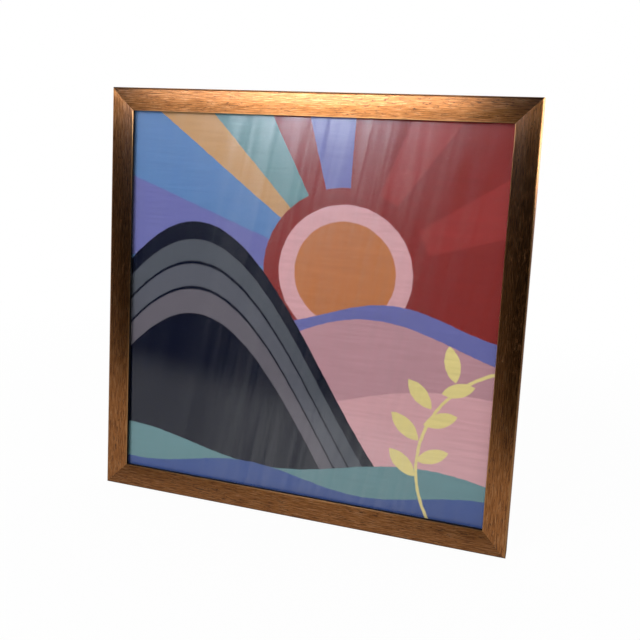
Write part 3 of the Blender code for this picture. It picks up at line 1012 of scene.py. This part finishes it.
def model_ring(knuckle):
    """Wire bent to a D: a plane's outline with rounded corners, given the wire's thickness."""
    height = ring_corner_radius + ring_half_width
    ring = start(
        "wire_d_ring", bpy.ops.mesh.primitive_plane_add, size=1,
        location=(0, -height / 2, 0), scale=(2 * ring_half_width, height, 1),
    )
    pick(ring, "verts", lambda vert: near(vert.co.y, -height))
    bpy.ops.mesh.bevel(offset=ring_half_width, segments=ring_bow_segments, affect="VERTICES")
    pick(ring, "verts", lambda vert: near(vert.co.y, 0))
    bpy.ops.mesh.bevel(offset=ring_corner_radius, segments=8, affect="VERTICES")
    pick(ring, "verts", lambda vert: vert.co.y < -ring_corner_radius - hair)
    bpy.ops.transform.resize(
        value=(1, ring_bow / ring_half_width, 1), center_override=(0, -ring_corner_radius, 0),
    )
    bpy.ops.mesh.select_all(action="SELECT")
    bpy.ops.mesh.remove_doubles(threshold=weld)
    bpy.ops.mesh.delete(type="ONLY_FACE")
    alone(ring)
    bpy.ops.object.convert(target="CURVE")
    ring = bpy.context.object
    ring.data.bevel_depth = ring_wire_radius
    ring.data.bevel_resolution = 6
    bpy.ops.object.convert(target="MESH")
    ring = bpy.context.object
    outwards(ring)
    ring.data.transform(Matrix.Translation(knuckle) @ Matrix.Rotation(math.pi / 2, 4, "X"))
    shade(ring, 60)
    return ring


def build_hanger(bright):
    """The strap with its ring, and the two rivets that hold it."""
    knuckle = Vector(next(j["pos_m"] for j in frame["joints"] if j["name"] == "ring_swing"))
    strap = model_strap(knuckle)
    hand_over(strap, "hanger_strap", "frame", [bright])
    ring = model_ring(knuckle)
    hand_over(ring, "hanger_ring", "ring", [bright])
    rivet = model_domed_pin(
        "rivet", rivet_head_radius, rivet_rim_height, rivet_head_height, rivet_shank_radius,
        rivet_shank_length,
    )
    ease_edges(rivet, rivet_edge_width, 2, 40)
    shade(rivet)
    for level, drop in (("upper", upper_rivet_drop), ("lower", lower_rivet_drop)):
        node = "hanger_rivet_" + level
        seat = Matrix.Translation((0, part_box(node)[1].y - rivet_head_height, knuckle.z - drop))
        head = copy_of(rivet, level + "_rivet_head", seat @ Matrix.Rotation(faces_back, 4, "X"))
        hand_over(head, node, "frame", [bright])
    bpy.data.objects.remove(rivet)


# The CAD nodes that keep their shape

def dress_nodes():
    """Give the print, the boards and the nails their finishes."""
    finishes = {
        "insert_print": printed_design(),
        "filler_board": pressed_board(
            "corrugated_kraft_board", "#8F7148", "#AD8C62", "#BFA077", 0.8,
        ),
        "backing_board": pressed_board(
            "tempered_hardboard", "#54382A", "#684735", "#765541", 0.4,
        ),
    }
    steel = plated_steel("blued_nail_steel", "#77787A", "#939393", 0.42, 0.4)
    for name, node in frame["nodes"].items():
        material = steel if name.startswith("v_nail") else finishes.get(name)
        if material is not None:
            node.data.materials.clear()
            node.data.materials.append(material)


# Floor, light and camera

def mirror_rays(tree, path):
    """1 for a ray that gloss or a clear sheet sends out, 0 for any other."""
    return add_node(tree, "ShaderNodeMath", {"operation": "MAXIMUM"}, {
        0: path["Is Glossy Ray"], 1: path["Is Transmission Ray"],
    }).outputs["Value"]


def build_floor():
    """The table: white to the camera, with a faint shadow of the frame; in gloss a painted glow
    near the frame with a painted shadow under it, dark further out.
    """
    alone()
    bpy.ops.mesh.primitive_plane_add(size=table_side, location=(0, 0, cad_low.z - table_gap))
    floor = bpy.context.object
    floor.name = "studio_floor"
    material, tree = new_material("white_table_paper")
    path = add_node(tree, "ShaderNodeLightPath").outputs
    place = add_node(tree, "ShaderNodeTexCoord").outputs["Object"]

    # Near the frame the paper shows its shadow, further out it is all white
    spread = add_node(tree, "ShaderNodeVectorMath", {"operation": "LENGTH"}, {
        0: place,
    }).outputs["Value"]
    clean = add_node(tree, "ShaderNodeMapRange", {"interpolation_type": "SMOOTHSTEP"}, {
        "Value": spread, "From Min": 0.3, "From Max": 0.9, "To Min": 0.97, "To Max": 1.0,
    }).outputs["Result"]
    seen_white = add_node(tree, "ShaderNodeMath", {"operation": "MULTIPLY"}, {
        0: clean, 1: path["Is Camera Ray"],
    }).outputs["Value"]
    paper = add_node(tree, "ShaderNodeBsdfDiffuse", inputs={
        "Color": colour("#E7E7E7"),
    }).outputs["BSDF"]
    white = add_node(tree, "ShaderNodeEmission", inputs={"Strength": 1.0}).outputs["Emission"]
    seen = add_node(tree, "ShaderNodeMixShader", inputs={
        "Fac": seen_white, 1: paper, 2: white,
    }).outputs["Shader"]

    # In gloss the table is a painted glow: painted light near the frame that fades into the
    # dark room in front of it, with a painted shadow right under the frame
    along_view = add_node(tree, "ShaderNodeVectorMath", {"operation": "DOT_PRODUCT"}, {
        0: place, 1: (math.sin(camera_azimuth), -math.cos(camera_azimuth), 0.0),
    }).outputs["Value"]
    fading = add_node(tree, "ShaderNodeMapRange", {"interpolation_type": "SMOOTHSTEP"}, {
        "Value": along_view, "From Min": 0.17, "From Max": 0.30, "To Min": 0.50, "To Max": 0.01,
    }).outputs["Result"]
    _, from_foot, _ = add_node(tree, "ShaderNodeSeparateXYZ", inputs={"Vector": place}).outputs
    either_way = add_node(tree, "ShaderNodeMath", {"operation": "ABSOLUTE"}, {
        0: from_foot,
    }).outputs["Value"]
    # A painted shadow on the glowing table, right under the foot of the frame
    clear_of_painted_shadow = add_node(tree, "ShaderNodeMapRange", {"interpolation_type": "SMOOTHSTEP"}, {
        "Value": either_way, "From Min": 3 * millimetre, "From Max": 15 * millimetre,
        "To Min": 0.25, "To Max": 1.0,
    }).outputs["Result"]
    table = add_node(tree, "ShaderNodeMath", {"operation": "MULTIPLY"}, {
        0: fading, 1: clear_of_painted_shadow,
    }).outputs["Value"]
    mirrored = add_node(tree, "ShaderNodeEmission", inputs={
        "Strength": table,
    }).outputs["Emission"]
    shader = add_node(tree, "ShaderNodeMixShader", inputs={
        "Fac": mirror_rays(tree, path), 1: seen, 2: mirrored,
    }).outputs["Shader"]
    finish_material(tree, shader)
    floor.data.materials.append(material)


def light_world():
    """A white studio to the camera, and a dark room to the gloss that faces it."""
    world = bpy.data.worlds.new("studio")
    bpy.context.scene.world = world
    world.use_nodes = True
    tree = world.node_tree
    tree.nodes.clear()
    path = add_node(tree, "ShaderNodeLightPath").outputs
    direction = add_node(tree, "ShaderNodeTexCoord").outputs["Generated"]
    to_right, to_back, to_top = add_node(tree, "ShaderNodeSeparateXYZ", inputs={
        "Vector": direction,
    }).outputs

    # The gilding and the pane of the photographed frame mirror a dark room in front of the
    # face, where a white one would wash out both; behind the frame they see the white
    behind = add_node(tree, "ShaderNodeMapRange", {"interpolation_type": "SMOOTHSTEP"}, {
        "Value": to_back, "From Min": -0.1, "From Max": 0.3,
    }).outputs["Result"]
    room = add_node(tree, "ShaderNodeMapRange", {"interpolation_type": "SMOOTHSTEP"}, {
        "Value": to_right, "From Min": -0.7, "From Max": 0.1, "To Min": 0.015, "To Max": 0.008,
    }).outputs["Result"]
    overhead = add_node(tree, "ShaderNodeMapRange", {"interpolation_type": "SMOOTHSTEP"}, {
        "Value": to_top, "From Min": 0.3, "From Max": 0.8, "To Min": 1.0, "To Max": 0.25,
    }).outputs["Result"]
    mirrored = add_node(tree, "ShaderNodeMix", {"data_type": "FLOAT"}, {
        "Factor": behind, "A": room, "B": overhead,
    }).outputs["Result"]
    around = add_node(tree, "ShaderNodeMix", {"data_type": "FLOAT"}, {
        "Factor": behind, "A": 0.35, "B": 0.9,
    }).outputs["Result"]
    unseen = add_node(tree, "ShaderNodeMix", {"data_type": "FLOAT"}, {
        "Factor": mirror_rays(tree, path), "A": around, "B": mirrored,
    }).outputs["Result"]
    strength = add_node(tree, "ShaderNodeMix", {"data_type": "FLOAT"}, {
        "Factor": path["Is Camera Ray"], "A": unseen, "B": 1.0,
    }).outputs["Result"]
    background = add_node(tree, "ShaderNodeBackground", inputs={
        "Color": colour("#FFFFFF"), "Strength": strength,
    }).outputs["Background"]
    add_node(tree, "ShaderNodeOutputWorld", inputs={"Surface": background})


def hang_lamp(name, size, place, target, radiance):
    """A soft lamp aimed at a place on the frame, which the camera doesn't see."""
    data = bpy.data.lights.new(name, "AREA")
    data.shape = "RECTANGLE"
    data.size, data.size_y = size
    data.energy = radiance * math.pi * data.size * data.size_y
    lamp = bpy.data.objects.new(name, data)
    bpy.context.scene.collection.objects.link(lamp)
    lamp.location = place
    aim = Vector(target) - Vector(place)
    lamp.rotation_euler = aim.to_track_quat("-Z", "Y").to_euler()
    lamp.visible_camera = False
    return lamp


def hang_lamps():
    """All four lamps, the bars cool and narrow, and what each may light."""
    bars = [hang_lamp(*lamp) for lamp in bar_lamps]
    rim = hang_lamp(*rim_lamp)
    fill = hang_lamp(*fill_lamp)
    for lamp in bars:
        lamp.data.spread = bar_spread
        lamp.data.color = cool_white
    for lamp in (*bars, rim):
        lamp.visible_diffuse = False
    fill.visible_glossy = False


def place_camera():
    """The photograph's view: its direction, roll and lens, shifted to its optical axis."""
    data = bpy.data.cameras.new("camera")
    data.lens = camera_lens
    data.shift_x = (image_side / 2 - optical_axis_pixel[0]) / image_side
    data.shift_y = (optical_axis_pixel[1] - image_side / 2) / image_side
    data.dof.use_dof = False
    camera = bpy.data.objects.new("camera", data)
    bpy.context.scene.collection.objects.link(camera)
    to_camera = Vector((
        math.sin(camera_azimuth) * math.cos(camera_elevation),
        -math.cos(camera_azimuth) * math.cos(camera_elevation),
        math.sin(camera_elevation),
    ))
    place = Matrix.Translation(camera_aim + to_camera * camera_distance)
    level = to_camera.to_track_quat("Z", "Y").to_matrix().to_4x4()
    camera.matrix_world = place @ level @ Matrix.Rotation(camera_roll, 4, "Z")
    bpy.context.scene.camera = camera


build_mouldings()
build_glazing()
bright_plate = build_turn_buttons()
build_hanger(bright_plate)
dress_nodes()
build_floor()
light_world()
hang_lamps()
place_camera()
bpy.context.scene.view_settings.view_transform = "Standard"
